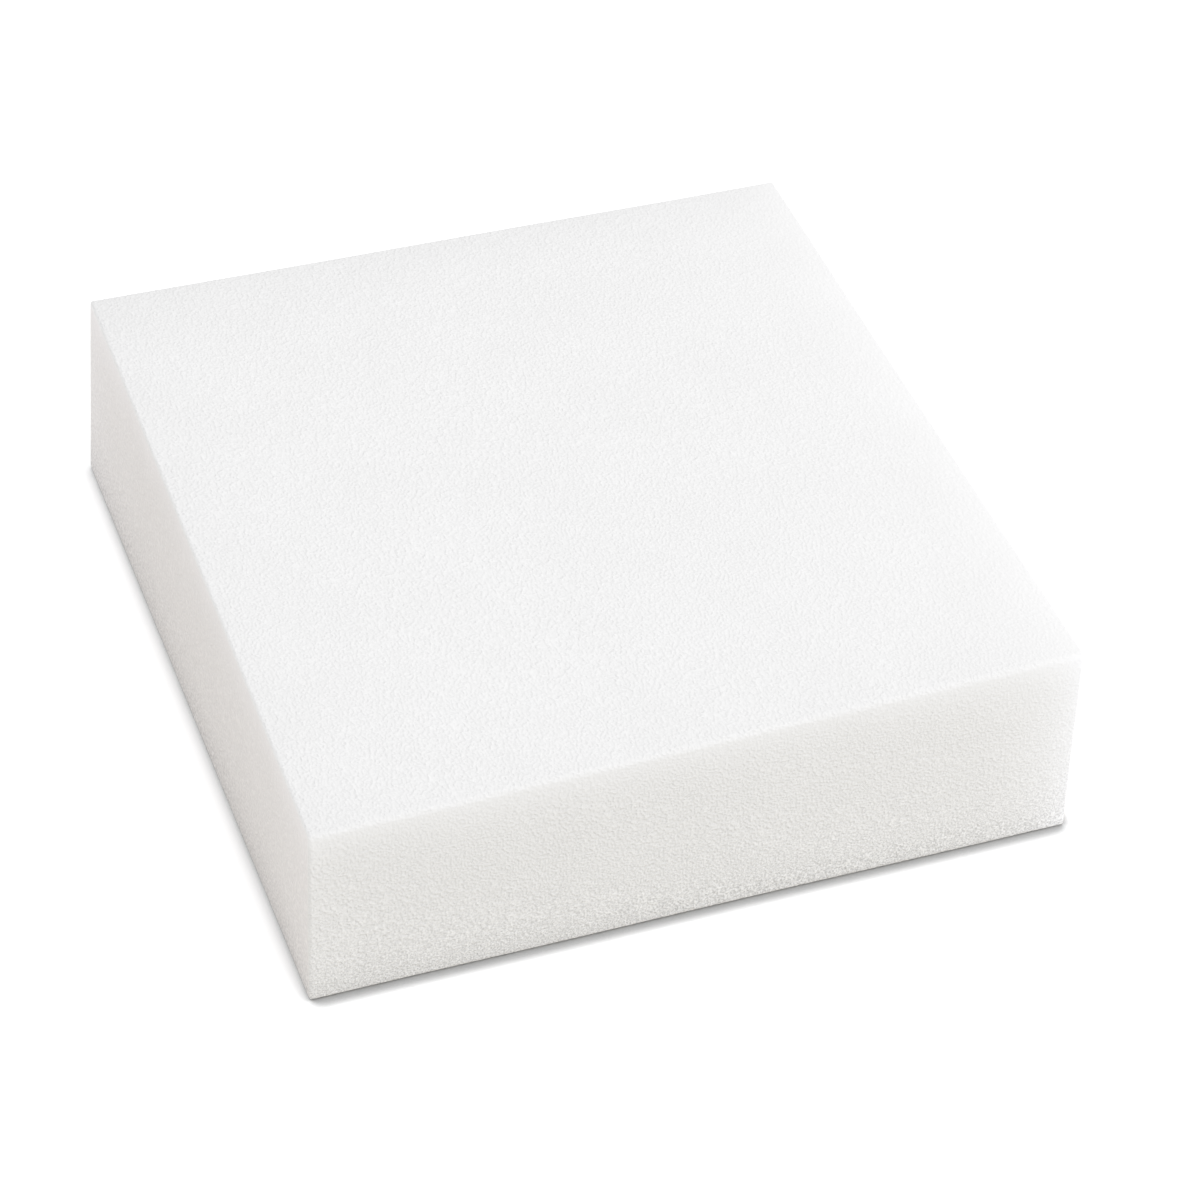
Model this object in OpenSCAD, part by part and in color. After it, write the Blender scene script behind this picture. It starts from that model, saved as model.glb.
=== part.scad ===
// Nail buffer block: a slab of fine-celled white foam. Its long faces (top, bottom, front and
// back) each carry a grit coat held on by a thin flexible bond coat, and its two ends are bare
// cut foam.
//
// Frame: +Z up, front towards -Y, the coated faces run along X. The origin is at the centre of
// the face that the block rests on.

/* [Block] */
// Width, from one bare end to the other
block_w = 90; // [60:1:120]
// Depth, from the front face to the back face
block_d = 95; // [60:1:120]
// Height, the thickness of the foam stock with its coats
block_h = 25; // [12:1:50]
// Outside radius of the long edges
edge_r = 0.6; // [0.6:0.1:3]

/* [Coats] */
// Thickness of the layer of abrasive grains
grit_t = 0.25; // [0.15:0.05:0.3]
// Thickness of the flexible resin that holds the grains to the foam
bond_t = 0.15; // [0.1:0.05:0.2]

/* [Hidden] */
$fn = 64;

// Depth of each surface below the outside of the block
bond_at = grit_t;
core_at = grit_t + bond_t;

// The long edges' centres, shared by every layer, measured from the section's middle
edge_y = block_d / 2 - edge_r;
edge_z = block_h / 2 - edge_r;
// How far a face's share of the section reaches past those centres, which clears the outside
reach = 2 * edge_r;

// Draws its 2D children as a section in the YZ plane and runs it from end to end of the block.
module run_along_width() {
    translate([-block_w / 2, 0, block_h / 2])
        rotate([90, 0, 90])
            linear_extrude(height = block_w)
                children();
}

// The block's section, with every side moved in by `inset`. The corner arcs keep their centres.
module section(inset) {
    r = edge_r - inset;
    square([2 * edge_y, 2 * (edge_z + r)], center = true);
    square([2 * (edge_y + r), 2 * edge_z], center = true);
    for (y = [-edge_y, edge_y], z = [-edge_z, edge_z])
        translate([y, z])
            circle(r = r);
}

// The skin of the section between two depths.
module skin(outer, inner) {
    difference() {
        section(outer);
        section(inner);
    }
}

// The top face's share of the section: neighbouring faces meet on the 45 degree line through
// each corner arc's centre. `z_side` is 1 for the top and -1 for the bottom.
module level_face_share(z_side) {
    polygon([
        [-edge_y, z_side * edge_z],
        [edge_y, z_side * edge_z],
        [edge_y + reach, z_side * (edge_z + reach)],
        [-edge_y - reach, z_side * (edge_z + reach)],
    ]);
}

// The front or back face's share. `y_side` is -1 for the front and 1 for the back.
module upright_face_share(y_side) {
    polygon([
        [y_side * edge_y, -edge_z],
        [y_side * edge_y, edge_z],
        [y_side * (edge_y + reach), edge_z + reach],
        [y_side * (edge_y + reach), -edge_z - reach],
    ]);
}

module level_coat(z_side, outer, inner) {
    run_along_width()
        intersection() {
            skin(outer, inner);
            level_face_share(z_side);
        }
}

module upright_coat(y_side, outer, inner) {
    run_along_width()
        intersection() {
            skin(outer, inner);
            upright_face_share(y_side);
        }
}

// The slab of foam. Its two ends are the block's bare ends.
module foam_core() {
    color([0.93, 0.92, 0.90])
        run_along_width()
            section(core_at);
}

module level_bond_coat(z_side) {
    color([0.90, 0.90, 0.87])
        level_coat(z_side, bond_at, core_at);
}

module upright_bond_coat(y_side) {
    color([0.90, 0.90, 0.87])
        upright_coat(y_side, bond_at, core_at);
}

module level_grit_coat(z_side) {
    color([0.96, 0.96, 0.96])
        level_coat(z_side, 0, bond_at);
}

module upright_grit_coat(y_side) {
    color([0.96, 0.96, 0.96])
        upright_coat(y_side, 0, bond_at);
}

foam_core();
level_bond_coat(1);  // top_bond_coat
level_grit_coat(1);  // top_grit_coat
level_bond_coat(-1);  // bottom_bond_coat
level_grit_coat(-1);  // bottom_grit_coat
upright_bond_coat(-1);  // front_bond_coat
upright_grit_coat(-1);  // front_grit_coat
upright_bond_coat(1);  // back_bond_coat
upright_grit_coat(1);  // back_grit_coat
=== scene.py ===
"""Looks of the nail buffer block: fine white foam, grit coats on its long faces, bare cut ends.

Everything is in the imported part's frame: +Z up, the front towards -Y, the bare ends at -X and +X.
Blender works in metres. The mesh code below works in millimetres and scales once, at the end.
"""

import math

import bpy
import numpy as np
from mathutils import Matrix, Vector, noise


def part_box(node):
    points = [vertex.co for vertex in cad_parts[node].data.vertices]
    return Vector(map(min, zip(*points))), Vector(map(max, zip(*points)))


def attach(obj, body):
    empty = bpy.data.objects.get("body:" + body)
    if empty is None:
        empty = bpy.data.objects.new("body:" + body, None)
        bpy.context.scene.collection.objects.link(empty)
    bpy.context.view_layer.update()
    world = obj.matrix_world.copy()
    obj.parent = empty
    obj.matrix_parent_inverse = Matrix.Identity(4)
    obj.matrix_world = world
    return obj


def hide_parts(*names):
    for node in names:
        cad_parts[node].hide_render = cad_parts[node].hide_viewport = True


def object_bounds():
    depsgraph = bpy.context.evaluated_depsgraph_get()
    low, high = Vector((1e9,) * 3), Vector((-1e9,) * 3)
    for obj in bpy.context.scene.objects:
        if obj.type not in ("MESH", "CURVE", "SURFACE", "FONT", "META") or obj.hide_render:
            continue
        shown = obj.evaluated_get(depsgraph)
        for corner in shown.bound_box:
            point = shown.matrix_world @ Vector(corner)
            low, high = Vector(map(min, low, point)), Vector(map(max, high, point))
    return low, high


MM = 0.001

# Mesh density: a hidden surface has one cell where an outside surface has FINE_PER_COARSE
COARSE_STEP_MM = 3.0
FINE_PER_COARSE = 15
# Cells across half a rounded long edge, and across a rounded edge of a cut end
ARC_STEPS = 4
END_STEPS = 5

# Grains and cells are a little longer along the depth of the block than along its width
GRAIN_STRETCH = (1.0, 1.2, 1.0)
# Grit coat: clumps of grains that stand out of the coat
CLUMP_SIZE_MM = 0.6
CLUMP_HEIGHT_MM = 0.013
# Cut foam: open cells sunk into the bare ends, fading out towards the edge of the core
PORE_SIZE_MM = 0.8
PORE_DEPTH_MM = 0.02
PORE_NARROWING = 1.6
PORE_FADE_MM = 0.3
# The slab's own slow unevenness, as foam is cut, and the seed that fixes where it falls
WAVE_LENGTH_MM = 24.0
WAVE_HEIGHT_MM = 0.08
WAVE_SEED = 10
# Rounding of the edges round the two cut ends
CUT_EDGE_MM = 0.3
# How far the cut leaves three corners off square: (x side, y side, z side), then the shift
CORNER_SHIFTS_MM = (
    ((1, -1, 1), (0.22, 1.73, 0.0)),
    ((-1, 1, 1), (1.70, 0.94, 0.0)),
    ((-1, 1, -1), (0.45, 0.0, 0.0)),
)

# Painted light and shade near the block's sides, standing in for light that creeps through the foam.
# These are the shares by which an upright face's colour is painted lighter, and darker as painted
# shade where a share is negative as at the base, near the right, back and top sides, and near the
# left, front and base sides
PAINTED_LIGHT_UP = (0.165, 0.10, 0.092)
PAINTED_LIGHT_AND_SHADE_DOWN = (0.022, 0.03, -0.145)
# The colour of the first of those painted lights, as against the face's own colour
PAINTED_LIGHT_TINT = (0.92, 1.0, 1.22)
# The same shares of painted light and shade for the top face
TOP_PAINTED_LIGHT_AND_SHADE_UP = (0.052, -0.04, 0.0)
TOP_PAINTED_SHADE_DOWN = (-0.025, -0.02, 0.0)

# That light also washes out the grains: the share it takes near the right side, near the top of an
# upright face, and on the top face, and how far in from the right, back and top sides it reaches
RIGHT_WASH = 0.6
UPRIGHT_WASH = 0.8
TOP_WASH = 0.29
WASH_REACH_MM = (10.0, 10.0, 3.7)

# How far up from the base single grains are painted lighter and darker as specks, painted light and
# shade that fade upwards, and their size as a share of a grain's
BASE_REACH_MM = 6.5
SPECK_SIZE = 0.62
# Slow blending between a material's two colours
BLEND_SIZE_MM = 9.0
BLEND_DETAIL = 3.0
# Ramps: a range of noise, and then the range it becomes. A material sets the roughness it becomes
BLEND_RAMP = (0.3, 0.7, 0.42, 0.58)
CROWN_RAMP = (0.45, 0.8, -0.6, 1.4)
SPECK_RAMP = (0.25, 0.75, -1.0, 1.0)
ROUGH_RAMP = (0.2, 0.8)

# The floor, in metres and in cells across, and its colour as the block's own sides are lit by it
FLOOR_HALF = 3.0
FLOOR_CELLS = 12
FLOOR_BOUNCE = (0.866, 0.843, 0.788)
# How far out the floor shows the shade of the block's base, and which way the light leans that
# leaves it deeper at the front and on the right
CONTACT_SHADE_MM = 2.0
CONTACT_LEAN = (-0.27, 0.52, 0.81)
CONTACT_SAMPLES = 8
# A range of the floor's openness to light, and then how light the camera sees it
CONTACT_RAMP = (0.45, 0.95, 0.42, 1.3)

# Soft light from all round, as it falls on the block
ROOM_LIGHT = (0.77, 0.775, 0.785)
# Area lights: the place and the side of each in metres, and its power in watts
KEY_LIGHT = ((0.13, -0.24, 1.13), 0.7, 3.95)
SIDE_LIGHT = ((1.0, -0.25, 0.28), 0.5, 2.2)

# Camera: degrees about the block's middle, and a lens and sensor width in millimetres
CAMERA_AZIMUTH = -22.05
CAMERA_ELEVATION = 41.47
CAMERA_ROLL = 3.17
CAMERA_DISTANCE_MM = 488.5
CAMERA_LENS = 124.82
CAMERA_SENSOR = 36.0
CAMERA_NEAR_MM = 10.0
AIM_RIGHT_MM = 4.85
AIM_UP_MM = -4.74


def read_sizes():
    """The block's sizes in millimetres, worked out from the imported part."""
    core_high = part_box("foam_core")[1] / MM
    bond_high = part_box("top_bond_coat")[1] / MM
    grit_low, grit_high = (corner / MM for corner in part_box("top_grit_coat"))
    size = {
        "half_x": grit_high.x,
        "half_y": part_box("back_grit_coat")[1].y / MM,
        "half_z": grit_high.z / 2,
        "grit": grit_high.z - bond_high.z,
        "bond": bond_high.z - core_high.z,
    }
    # The coat's lowest point is its inner arc's end, 45 degrees round the long edge
    diagonal = math.sqrt(0.5)
    drop = grit_high.z - grit_low.z
    size["edge"] = (drop - diagonal * size["grit"]) / (1 - diagonal)
    return size


def half_sizes(size):
    return size["half_x"], size["half_y"], size["half_z"]


# ---------------------------------------------------------------------------- surface functions


def grit_heights(points):
    """How far the grit stands out of its coat at each point, in millimetres."""
    places = points / GRAIN_STRETCH / CLUMP_SIZE_MM
    return CLUMP_HEIGHT_MM * np.array([noise.noise(Vector(p)) for p in places])


def pore_depths(points):
    """How far the cut foam is sunk at each point, in millimetres."""
    places = points / GRAIN_STRETCH / PORE_SIZE_MM
    nearest = np.array([noise.voronoi(Vector(p))[0][0] for p in places])
    return PORE_DEPTH_MM * np.maximum(0.0, 1.0 - PORE_NARROWING * nearest**2)


def softened(points, size):
    """Points moved so that the edges round the two cut ends are arcs too."""
    edge = size["edge"]
    past = np.maximum(np.abs(points) - half_sizes(size) + (CUT_EDGE_MM, edge, edge), 0.0)
    # How far a point is into the rounding, from 0 to 1: along X, and across the section
    end = past[:, 0] / CUT_EDGE_MM
    reach = np.hypot(past[:, 1], past[:, 2])
    rim = np.clip((reach - edge) / CUT_EDGE_MM + 1, 0.0, 1.0)
    inward = past.copy()
    inward[:, 0] *= 1 - np.sqrt(1 - rim**2 / 2)
    drawn = CUT_EDGE_MM * rim * (1 - np.sqrt(1 - end**2 / 2))
    # Where reach is small nothing is drawn in, and the least divisor only keeps 0 / 0 out
    inward[:, 1:] *= (drawn / np.maximum(reach, CUT_EDGE_MM / 2))[:, None]
    return points - np.sign(points) * inward


def settled(points, size):
    """Points moved by the slab's slow unevenness and by its corners' cut, which is a little off
    square. Heights count from the slab's middle, and the base stays flat on its table."""
    noise.seed_set(WAVE_SEED)
    waves = [noise.noise_vector(Vector(p)) for p in points / WAVE_LENGTH_MM]
    moved = np.array(waves) * WAVE_HEIGHT_MM
    moved[:, 2] *= (points[:, 2] / size["half_z"] + 1) / 2
    for corner, shift in CORNER_SHIFTS_MM:
        share = np.prod((1 + points / half_sizes(size) * corner) / 2, axis=1)
        moved += np.outer(share, shift)
    return points + moved


# ------------------------------------------------------------------------------------- meshes


def stations(half):
    """Evenly spaced places from -half to half, FINE_PER_COARSE of them to each coarse one."""
    spans = max(1, round(2 * half / COARSE_STEP_MM))
    return np.linspace(-half, half, spans * FINE_PER_COARSE + 1)


def grid_faces(first, rows, columns, flipped):
    """Four-sided faces over a grid of points, the first of which has the index first."""
    corner = first + np.arange(rows - 1)[:, None] * columns + np.arange(columns - 1)
    quads = np.stack([corner, corner + columns, corner + columns + 1, corner + 1], -1)
    quads = quads.reshape(-1, 4)
    return (quads[:, ::-1] if flipped else quads).tolist()


def mark_rims(mesh, groups):
    """Marks as sharp each edge where faces of different groups meet."""
    edges = np.zeros(len(mesh.loops), int)
    mesh.loops.foreach_get("edge_index", edges)
    sides = np.zeros(len(mesh.polygons), int)
    mesh.polygons.foreach_get("loop_total", sides)
    of_loop = np.repeat(groups, sides)
    lowest = np.full(len(mesh.edges), max(groups))
    highest = np.zeros(len(mesh.edges), int)
    np.minimum.at(lowest, edges, of_loop)
    np.maximum.at(highest, edges, of_loop)
    sharp = mesh.attributes.new("sharp_edge", "BOOLEAN", "EDGE")
    sharp.data.foreach_set("value", lowest != highest)


def new_piece(name, points, faces, groups, size):
    """A mesh object named name, in metres, riding on the block's only body."""
    placed = settled(softened(points, size), size) + (0, 0, size["half_z"])
    mesh = bpy.data.meshes.new(name)
    mesh.from_pydata(placed * MM, [], faces)
    mesh.polygons.foreach_set("use_smooth", [True] * len(faces))
    mesh.update()
    mark_rims(mesh, groups)
    piece = bpy.data.objects.new(name, mesh)
    bpy.context.scene.collection.objects.link(piece)
    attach(piece, "root")
    return piece


def turn(places, quarter):
    """Section places turned by quarters of a circle about X: 0 top, 1 front, 2 bottom, 3 back."""
    c, s = ((1, 0), (0, 1), (-1, 0), (0, -1))[quarter]
    return places @ np.array(((c, s), (-s, c)))


def coat_section(flat, centre_v, radius):
    """Places and normals across a coat, from one 45 degree mitre over the flat to the other."""
    rising = np.radians(np.linspace(135, 90, ARC_STEPS + 1))
    falling = np.radians(np.linspace(90, 45, ARC_STEPS + 1))
    angles = np.concatenate([rising, np.full(len(flat) - 2, math.pi / 2), falling])
    centre_u = np.concatenate([[flat[0]] * len(rising), flat[1:-1], [flat[-1]] * len(falling)])
    normals = np.column_stack([np.cos(angles), np.sin(angles)])
    centres = np.column_stack([centre_u, np.full(len(centre_u), centre_v)])
    return centres + radius * normals, normals


def spread_along(xs, places):
    """The points of a section at each station along X, one row after another."""
    rows = np.repeat(xs, len(places))
    return np.column_stack([rows, np.tile(places, (len(xs), 1))])


def build_coat(name, quarter, size, outer, inner, rough):
    """A closed coat on one long face, between the depths outer and inner below the block's outside.

    The outer surface of a rough coat is fine and every hidden one is coarse. Many-sided faces
    join the two, along the mitres and round the ends.
    """
    across = size["half_y"] if quarter % 2 == 0 else size["half_z"]
    stand = size["half_z"] if quarter % 2 == 0 else size["half_y"]
    edge = size["edge"]
    step = FINE_PER_COARSE if rough else 1
    flat = stations(across - edge)[:: FINE_PER_COARSE // step]
    along = stations(size["half_x"] - CUT_EDGE_MM)[:: FINE_PER_COARSE // step]
    ending = np.linspace(0, CUT_EDGE_MM, END_STEPS + 1)[1:]
    xs = np.concatenate([along[0] - ending[::-1], along, along[-1] + ending])
    coarse_xs = np.concatenate([xs[:1], along[::step], xs[-1:]])

    outside, normals = coat_section(flat, stand - edge, edge - outer)
    inside, _ = coat_section(flat[::step], stand - edge, edge - inner)
    top = spread_along(xs, turn(outside, quarter))
    if rough:
        top[:, 1:] += np.tile(turn(normals, quarter), (len(xs), 1)) * grit_heights(top)[:, None]
    low = spread_along(coarse_xs, turn(inside, quarter))

    wide, low_wide, first_low = len(outside), len(inside), len(top)
    shown = grid_faces(0, len(xs), wide, False)
    hidden = grid_faces(first_low, len(coarse_xs), low_wide, True)

    # The fine index that each coarse one stands on, along X and across the section
    fine_i = [0] + [END_STEPS + k * step for k in range(len(coarse_xs) - 2)] + [len(xs) - 1]
    fine_j = list(range(ARC_STEPS))
    fine_j += [ARC_STEPS + k * step for k in range(low_wide - 2 * ARC_STEPS)]
    fine_j += [fine_j[-1] + k for k in range(1, ARC_STEPS + 1)]
    mitres, rims = [], []
    for k in range(len(coarse_xs) - 1):
        run = range(fine_i[k], fine_i[k + 1] + 1)
        a, b = first_low + k * low_wide, first_low + (k + 1) * low_wide
        mitres.append([i * wide for i in reversed(run)] + [a, b])
        mitres.append([i * wide + wide - 1 for i in run] + [b + low_wide - 1, a + low_wide - 1])
    last, last_low = (len(xs) - 1) * wide, first_low + (len(coarse_xs) - 1) * low_wide
    for k in range(low_wide - 1):
        run = range(fine_j[k], fine_j[k + 1] + 1)
        rims.append(list(run) + [first_low + k + 1, first_low + k])
        rims.append([last + j for j in reversed(run)] + [last_low + k, last_low + k + 1])

    # A rough coat is shaded as one surface over its outside and its ends
    groups = [0, 0 if rough else 1, 2, 3]
    groups = np.repeat(groups, [len(shown), len(rims), len(hidden), len(mitres)])
    faces = shown + rims + hidden + mitres
    return new_piece(name, np.concatenate([top, low]), faces, groups, size)


def end_stations(half, corner):
    """Places across a bare end, with the rounded corners' width kept as cells of their own."""
    edge = np.linspace(0, corner, ARC_STEPS + 1)[1:]
    flat = stations(half - corner)
    return np.concatenate([flat[0] - edge[::-1], flat, flat[-1] + edge])


def build_core(name, size):
    """The foam core: two finely pitted bare ends joined by plain sides under the coats."""
    deep = size["grit"] + size["bond"]
    half = np.array((size["half_y"] - deep, size["half_z"] - deep))
    corner = size["edge"] - deep
    ys, zs = end_stations(half[0], corner), end_stations(half[1], corner)
    n_y, n_z = len(ys), len(zs)
    square = np.column_stack([np.repeat(ys, n_z), np.tile(zs, n_y)])

    # The square corners of the grid become arcs
    past = np.maximum(np.abs(square) - half + corner, 0.0) / corner
    arc = corner * past * (np.sqrt(1 - past[:, ::-1] ** 2 / 2) - 1)
    section = square + np.sign(square) * arc

    border = np.min(half - np.abs(square), axis=1)
    points, ends = [], []
    for side in (-1, 1):
        end = np.column_stack([np.full(len(section), side * size["half_x"]), section])
        end[:, 0] -= side * pore_depths(end) * np.minimum(1.0, border / PORE_FADE_MM)
        points.append(end)
        ends.append(grid_faces(len(section) * len(ends), n_y, n_z, side == -1))

    # The outline of an end, going round, as indices into its grid
    outline = [i * n_z for i in range(n_y)]
    outline += [(n_y - 1) * n_z + j for j in range(1, n_z)]
    outline += [i * n_z + n_z - 1 for i in range(n_y - 2, -1, -1)]
    outline += list(range(n_z - 2, 0, -1))
    inner_xs = stations(size["half_x"] - CUT_EDGE_MM)[::FINE_PER_COARSE]
    points.append(spread_along(inner_xs, section[outline]))
    round_it = len(outline)
    first_ring = 2 * len(section)
    rings = [outline]
    rings += [[first_ring + k * round_it + m for m in range(round_it)] for k in range(len(inner_xs))]
    rings += [[m + len(section) for m in outline]]
    sides = []
    for near, far in zip(rings, rings[1:]):
        for k in range(round_it):
            m = (k + 1) % round_it
            sides.append((near[k], near[m], far[m], far[k]))
    groups = np.repeat([0, 1, 2], [len(ends[0]), len(ends[1]), len(sides)])
    return new_piece(name, np.concatenate(points), ends[0] + ends[1] + sides, groups, size)


# ---------------------------------------------------------------------------------- materials


class Tree:
    """A node tree being written: add() makes a node, and sets and links its inputs by name."""

    def __init__(self, tree):
        self.tree = tree
        tree.nodes.clear()

    def add(self, kind, inputs=None, **settings):
        made = self.tree.nodes.new(kind)
        for key, value in settings.items():
            setattr(made, key, value)
        for key, value in (inputs or {}).items():
            if isinstance(value, bpy.types.NodeSocket):
                self.tree.links.new(value, made.inputs[key])
            else:
                made.inputs[key].default_value = value
        return made

    def math(self, operation, a, b=0.0):
        return self.add("ShaderNodeMath", {0: a, 1: b}, operation=operation).outputs[0]

    def vector(self, operation, a, b):
        return self.add("ShaderNodeVectorMath", {0: a, 1: b}, operation=operation).outputs[0]

    def dot(self, a, b):
        return self.add("ShaderNodeVectorMath", {0: a, 1: b}, operation="DOT_PRODUCT").outputs[1]

    def scaled(self, a, factor):
        inputs = {0: a, "Scale": factor}
        return self.add("ShaderNodeVectorMath", inputs, operation="SCALE").outputs[0]

    def split(self, a):
        return self.add("ShaderNodeSeparateXYZ", {0: a}).outputs

    def joined(self, parts):
        return self.add("ShaderNodeCombineXYZ", dict(enumerate(parts))).outputs[0]

    def noise(self, point, size_mm, detail):
        """Smooth random values from 0 to 1, about 0.5, in blobs of about size_mm."""
        inputs = {"Vector": point, "Scale": 1 / size_mm, "Detail": detail}
        return self.add("ShaderNodeTexNoise", inputs).outputs[0]

    def ramp(self, value, low, high, to_low=0.0, to_high=1.0):
        inputs = {"Value": value, "From Min": low, "From Max": high}
        inputs.update({"To Min": to_low, "To Max": to_high})
        return self.add("ShaderNodeMapRange", inputs, clamp=True).outputs[0]

    def mix(self, factor, a, b):
        """The colour a where factor is 0, and b where it is 1. The factor is a socket."""
        made = self.add("ShaderNodeMix", data_type="RGBA")
        for key, value in (("Factor", factor), ("A", a), ("B", b)):
            socket = next(s for s in made.inputs if s.name == key and s.enabled)
            if isinstance(value, bpy.types.NodeSocket):
                self.tree.links.new(value, socket)
            else:
                socket.default_value = (*value, 1.0)
        return next(s for s in made.outputs if s.enabled)

    def normal(self):
        return self.add("ShaderNodeNewGeometry").outputs["Normal"]

    def seen(self):
        """1 where the camera looks straight at the surface, and 0 for the light it throws on."""
        return self.add("ShaderNodeLightPath").outputs["Is Camera Ray"]


def new_material(name):
    material = bpy.data.materials.new(name)
    material.use_nodes = True
    return material, Tree(material.node_tree)


def place_mm(t):
    """The point being shaded, in millimetres."""
    return t.scaled(t.add("ShaderNodeTexCoord").outputs["Object"], 1 / MM)


def nearness(t, point, size, reach, operation):
    """Values that fall from 1 at a side of the block to 0 deep inside, within about reach: for the
    right, back and top sides with SUBTRACT, and for the left, front and base sides with ADD."""
    middle = t.vector("SUBTRACT", point, (0, 0, size["half_z"]))
    inside = t.vector(operation, half_sizes(size), middle)
    falling = t.split(t.vector("DIVIDE", inside, [-r for r in reach]))
    return t.joined([t.math("EXPONENT", falling[k]) for k in range(3)])


def washed(t, point, size):
    """The share of the grains' relief and contrast that light leaves to be seen."""
    near = t.split(nearness(t, point, size, WASH_REACH_MM, "SUBTRACT"))
    normal = t.split(t.normal())
    top_wash = t.ramp(normal[2], 0.0, 1.0, UPRIGHT_WASH, TOP_WASH)
    right_wash = t.ramp(normal[0], 0.0, 1.0, RIGHT_WASH, 0.0)
    past_top = t.math("SUBTRACT", 1.0, t.math("MULTIPLY", near[2], top_wash))
    past_right = t.math("SUBTRACT", 1.0, t.math("MULTIPLY", near[0], right_wash))
    return t.math("MULTIPLY", past_top, past_right)


def painted_edge_light_and_shade(t, point, size, painted_light_reach):
    """Painted light and shade near the block's edges, as a factor for the foam's colour: lighter as
    if light that enters by one side crept through the foam and left by the next, and darker as
    painted shade, most near the base."""
    normal = t.normal()
    # A face gets no painted light or shade from its own side
    other = t.vector("SUBTRACT", (1.0, 1.0, 1.0), t.vector("MULTIPLY", normal, normal))
    near_up = t.vector("MULTIPLY", nearness(t, point, size, painted_light_reach, "SUBTRACT"), other)
    near_down = t.vector("MULTIPLY", nearness(t, point, size, painted_light_reach, "ADD"), other)

    upright = t.scaled(PAINTED_LIGHT_TINT, t.dot(near_up, PAINTED_LIGHT_UP))
    upright = t.vector("ADD", upright, t.dot(near_down, PAINTED_LIGHT_AND_SHADE_DOWN))
    top = t.math("ADD", t.dot(near_up, TOP_PAINTED_LIGHT_AND_SHADE_UP), t.dot(near_down, TOP_PAINTED_SHADE_DOWN))
    painted_lift = t.mix(t.ramp(t.split(normal)[2], 0.0, 1.0), upright, top)
    return t.vector("ADD", (1.0, 1.0, 1.0), painted_lift)


def grained_material(name, look, size):
    """A surface of packed fine grains or cells.

    look holds grain and relief (the size and height of grains, in millimetres), high and low (the
    lightest and darkest colours), crown_light_and_shade (how much lighter a grain's crown and darker
    its gaps are painted, partly its own tone and partly painted light and shade),
    base_speck_light_and_shade (how much lighter and darker single grains are painted at the base, as
    painted light and shade), painted_light_reach (how far the painted light and shade near the sides
    reach in along each axis, in millimetres), rough (the lowest and highest roughness) and specular.
    """
    material, t = new_material(name)
    point = place_mm(t)
    stretched = t.vector("DIVIDE", point, GRAIN_STRETCH)
    grain = t.noise(stretched, look["grain"], 0.0)
    left = washed(t, point, size)
    relief = t.math("MULTIPLY", left, look["relief"] * MM)
    bump = t.add("ShaderNodeBump", {"Height": grain, "Strength": 1.0, "Distance": relief})

    # Grain crowns painted lighter and gaps darker: partly the grains' own tone, partly painted light
    # and shade that follow the bump
    crown = t.math("MULTIPLY", t.ramp(grain, *CROWN_RAMP), look["crown_light_and_shade"])
    crown = t.math("MULTIPLY", crown, left)
    # Painted light and shade near the base: single grains painted lighter and darker, fading upwards
    near_base = t.math("EXPONENT", t.math("DIVIDE", t.split(point)[2], -BASE_REACH_MM))
    painted_speck = t.ramp(t.noise(stretched, look["grain"] * SPECK_SIZE, 0.0), *SPECK_RAMP)
    painted_speck = t.math("MULTIPLY", t.math("MULTIPLY", painted_speck, look["base_speck_light_and_shade"]), near_base)
    shade = t.math("ADD", t.math("ADD", 1.0, crown), painted_speck)

    slow = t.noise(point, BLEND_SIZE_MM, BLEND_DETAIL)
    base = t.mix(t.ramp(slow, *BLEND_RAMP), look["low"], look["high"])
    # The colour is multiplied by painted light and shade near the block's edges
    base = t.vector("MULTIPLY", t.scaled(base, shade), painted_edge_light_and_shade(t, point, size, look["painted_light_reach"]))
    shader = t.add(
        "ShaderNodeBsdfPrincipled",
        {
            "Base Color": base,
            "Roughness": t.ramp(grain, *ROUGH_RAMP, *look["rough"]),
            "Normal": bump.outputs[0],
            "Specular IOR Level": look["specular"],
        },
    )
    t.add("ShaderNodeOutputMaterial", {"Surface": shader.outputs[0]})
    return material


def grit_material(size):
    look = {
        "grain": 0.31,
        "relief": 0.21,
        "high": (0.892, 0.887, 0.883),
        "low": (0.812, 0.805, 0.797),
        "crown_light_and_shade": 0.03,
        "base_speck_light_and_shade": 0.24,
        "painted_light_reach": (4.0, 6.0, 2.6),
        "rough": (0.72, 0.95),
        "specular": 0.35,
    }
    return grained_material("white_grit", look, size)


def bond_material(size):
    look = {
        "grain": 1.1,
        "relief": 0.01,
        "high": (0.89, 0.885, 0.87),
        "low": (0.83, 0.822, 0.805),
        "crown_light_and_shade": 0.02,
        "base_speck_light_and_shade": 0.0,
        "painted_light_reach": (4.0, 6.0, 2.6),
        "rough": (0.54, 0.7125),
        "specular": 0.45,
    }
    return grained_material("clear_bond_resin", look, size)


def foam_material(size):
    look = {
        "grain": 0.4,
        "relief": 0.2,
        "high": (0.901, 0.876, 0.869),
        "low": (0.841, 0.813, 0.804),
        "crown_light_and_shade": 0.04,
        "base_speck_light_and_shade": 0.17,
        "painted_light_reach": (4.0, 14.0, 3.7),
        "rough": (0.72, 0.95),
        "specular": 0.25,
    }
    return grained_material("cut_white_foam", look, size)


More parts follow.
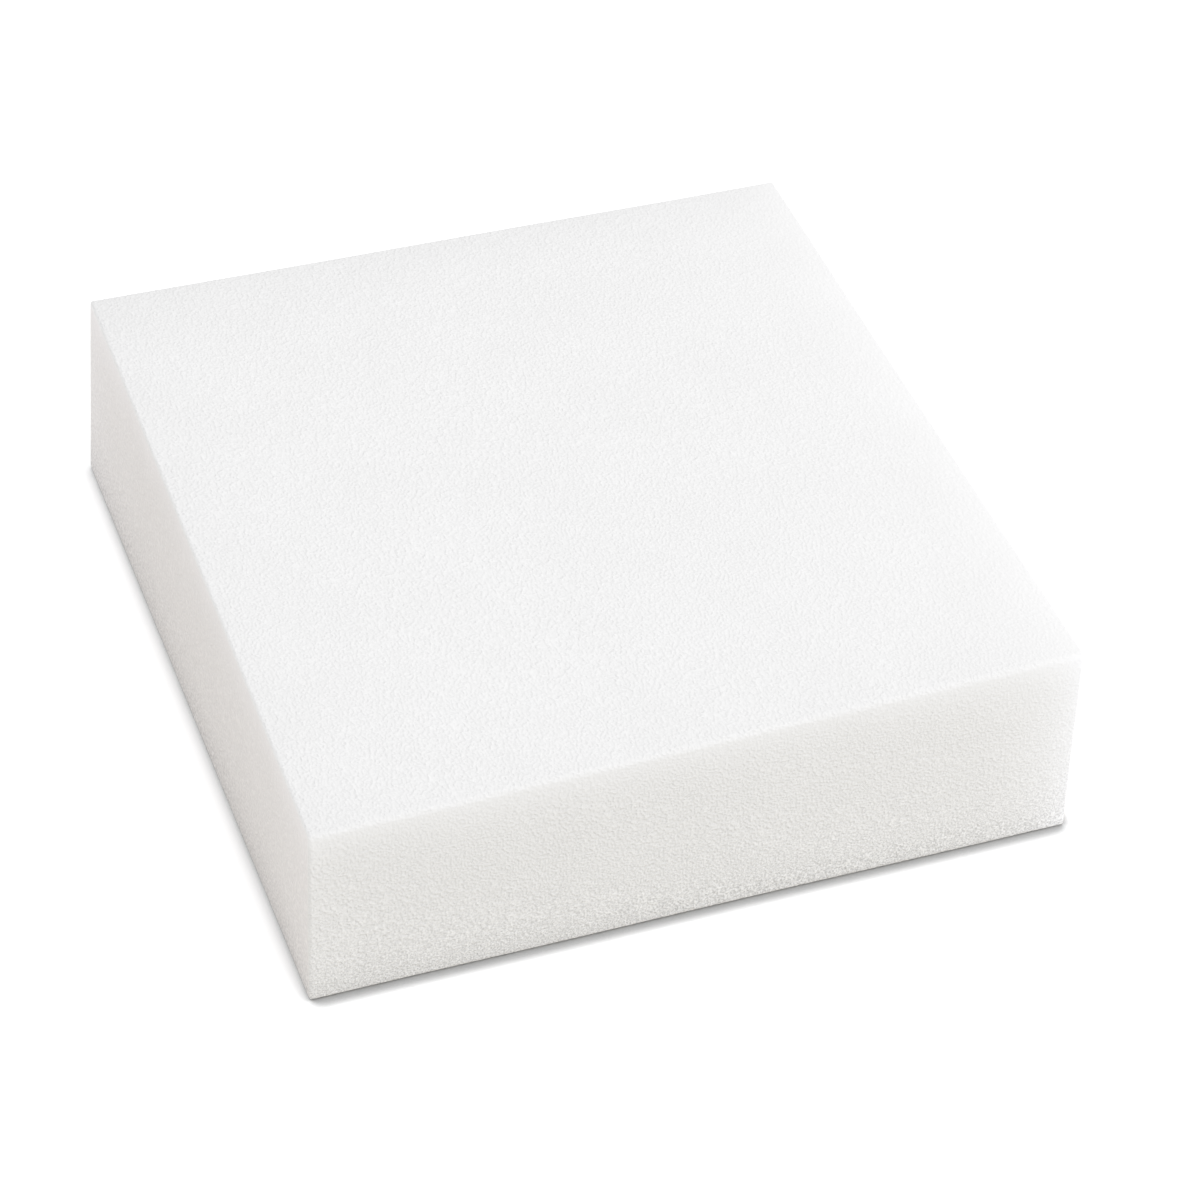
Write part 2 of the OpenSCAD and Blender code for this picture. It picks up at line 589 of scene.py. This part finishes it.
def floor_material():
    """Over-bright to the camera, as on a studio table, with a thin shade round the block's base."""
    material, t = new_material("pale_floor")
    inputs = {"Distance": CONTACT_SHADE_MM * MM, "Normal": t.joined(CONTACT_LEAN)}
    occlusion = t.add("ShaderNodeAmbientOcclusion", inputs, samples=CONTACT_SAMPLES)
    shown = t.ramp(occlusion.outputs["AO"], *CONTACT_RAMP)
    colour = t.mix(t.seen(), FLOOR_BOUNCE, shown)
    shader = t.add("ShaderNodeBsdfDiffuse", {"Color": colour})
    t.add("ShaderNodeOutputMaterial", {"Surface": shader.outputs[0]})
    return material


# ------------------------------------------------------------------------------ room and camera


def add_floor():
    """A plain pale floor under the block, which is not part of it."""
    steps = np.linspace(-FLOOR_HALF, FLOOR_HALF, FLOOR_CELLS + 1)
    points = [(x, y, 0.0) for x in steps for y in steps]
    mesh = bpy.data.meshes.new("floor")
    mesh.from_pydata(points, [], grid_faces(0, len(steps), len(steps), False))
    floor = bpy.data.objects.new("floor", mesh)
    bpy.context.scene.collection.objects.link(floor)
    mesh.materials.append(floor_material())


def add_lights():
    """Soft light from all round, a broad key light above, and a side light on the right."""
    world = bpy.data.worlds.new("studio")
    bpy.context.scene.world = world
    world.use_nodes = True
    t = Tree(world.node_tree)
    colour = t.mix(t.seen(), ROOM_LIGHT, (1.0, 1.0, 1.0))
    shader = t.add("ShaderNodeBackground", {"Color": colour, "Strength": 1.0})
    t.add("ShaderNodeOutputWorld", {"Surface": shader.outputs[0]})
    area_light("key", *KEY_LIGHT)
    area_light("side", *SIDE_LIGHT)


def area_light(name, place, side, power):
    """A square light that faces the block and that the camera doesn't see."""
    data = bpy.data.lights.new(name, "AREA")
    data.shape = "SQUARE"
    data.size = side
    data.energy = power
    light = bpy.data.objects.new(name, data)
    light.location = place
    light.rotation_mode = "QUATERNION"
    light.rotation_quaternion = Vector(place).to_track_quat("Z", "Y")
    light.visible_camera = False
    bpy.context.scene.collection.objects.link(light)


def add_camera(box):
    """A long lens looking down at the block's front left corner."""
    azimuth, elevation, roll = map(math.radians, (CAMERA_AZIMUTH, CAMERA_ELEVATION, CAMERA_ROLL))
    flat = math.cos(elevation)
    back = Vector((math.sin(azimuth) * flat, -math.cos(azimuth) * flat, math.sin(elevation)))
    level_right = (-back).cross(Vector((0, 0, 1))).normalized()
    level_up = level_right.cross(-back)
    right = level_right * math.cos(roll) + level_up * math.sin(roll)
    up = level_up * math.cos(roll) - level_right * math.sin(roll)
    aim = (box[0] + box[1]) / 2 + right * AIM_RIGHT_MM * MM + up * AIM_UP_MM * MM
    data = bpy.data.cameras.new("camera")
    data.sensor_width = CAMERA_SENSOR
    data.lens = CAMERA_LENS
    data.clip_start = CAMERA_NEAR_MM * MM
    camera = bpy.data.objects.new("camera", data)
    camera.location = aim + back * CAMERA_DISTANCE_MM * MM
    camera.rotation_mode = "QUATERNION"
    camera.rotation_quaternion = Matrix((right, up, back)).transposed().to_quaternion()
    bpy.context.scene.collection.objects.link(camera)
    bpy.context.scene.camera = camera


# ------------------------------------------------------------------------------------ the scene

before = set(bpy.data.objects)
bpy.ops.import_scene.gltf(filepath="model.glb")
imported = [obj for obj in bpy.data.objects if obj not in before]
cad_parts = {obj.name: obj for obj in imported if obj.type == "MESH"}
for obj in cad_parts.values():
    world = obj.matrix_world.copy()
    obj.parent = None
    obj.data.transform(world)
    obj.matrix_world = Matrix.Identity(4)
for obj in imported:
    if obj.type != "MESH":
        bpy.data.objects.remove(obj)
cad_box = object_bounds()
size = read_sizes()
deep = size["grit"] + size["bond"]

grit, bond, foam = grit_material(size), bond_material(size), foam_material(size)
for quarter, face in enumerate(("top", "front", "bottom", "back")):
    coat = build_coat(face + "_grit", quarter, size, 0.0, size["grit"], True)
    coat.data.materials.append(grit)
    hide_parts(face + "_grit_coat")
    layer = build_coat(face + "_bond", quarter, size, size["grit"], deep, False)
    layer.data.materials.append(bond)
    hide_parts(face + "_bond_coat")
core = build_core("foam_block", size)
core.data.materials.append(foam)
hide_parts("foam_core")

bpy.context.scene.view_settings.view_transform = "Standard"
add_floor()
add_lights()
add_camera(cad_box)
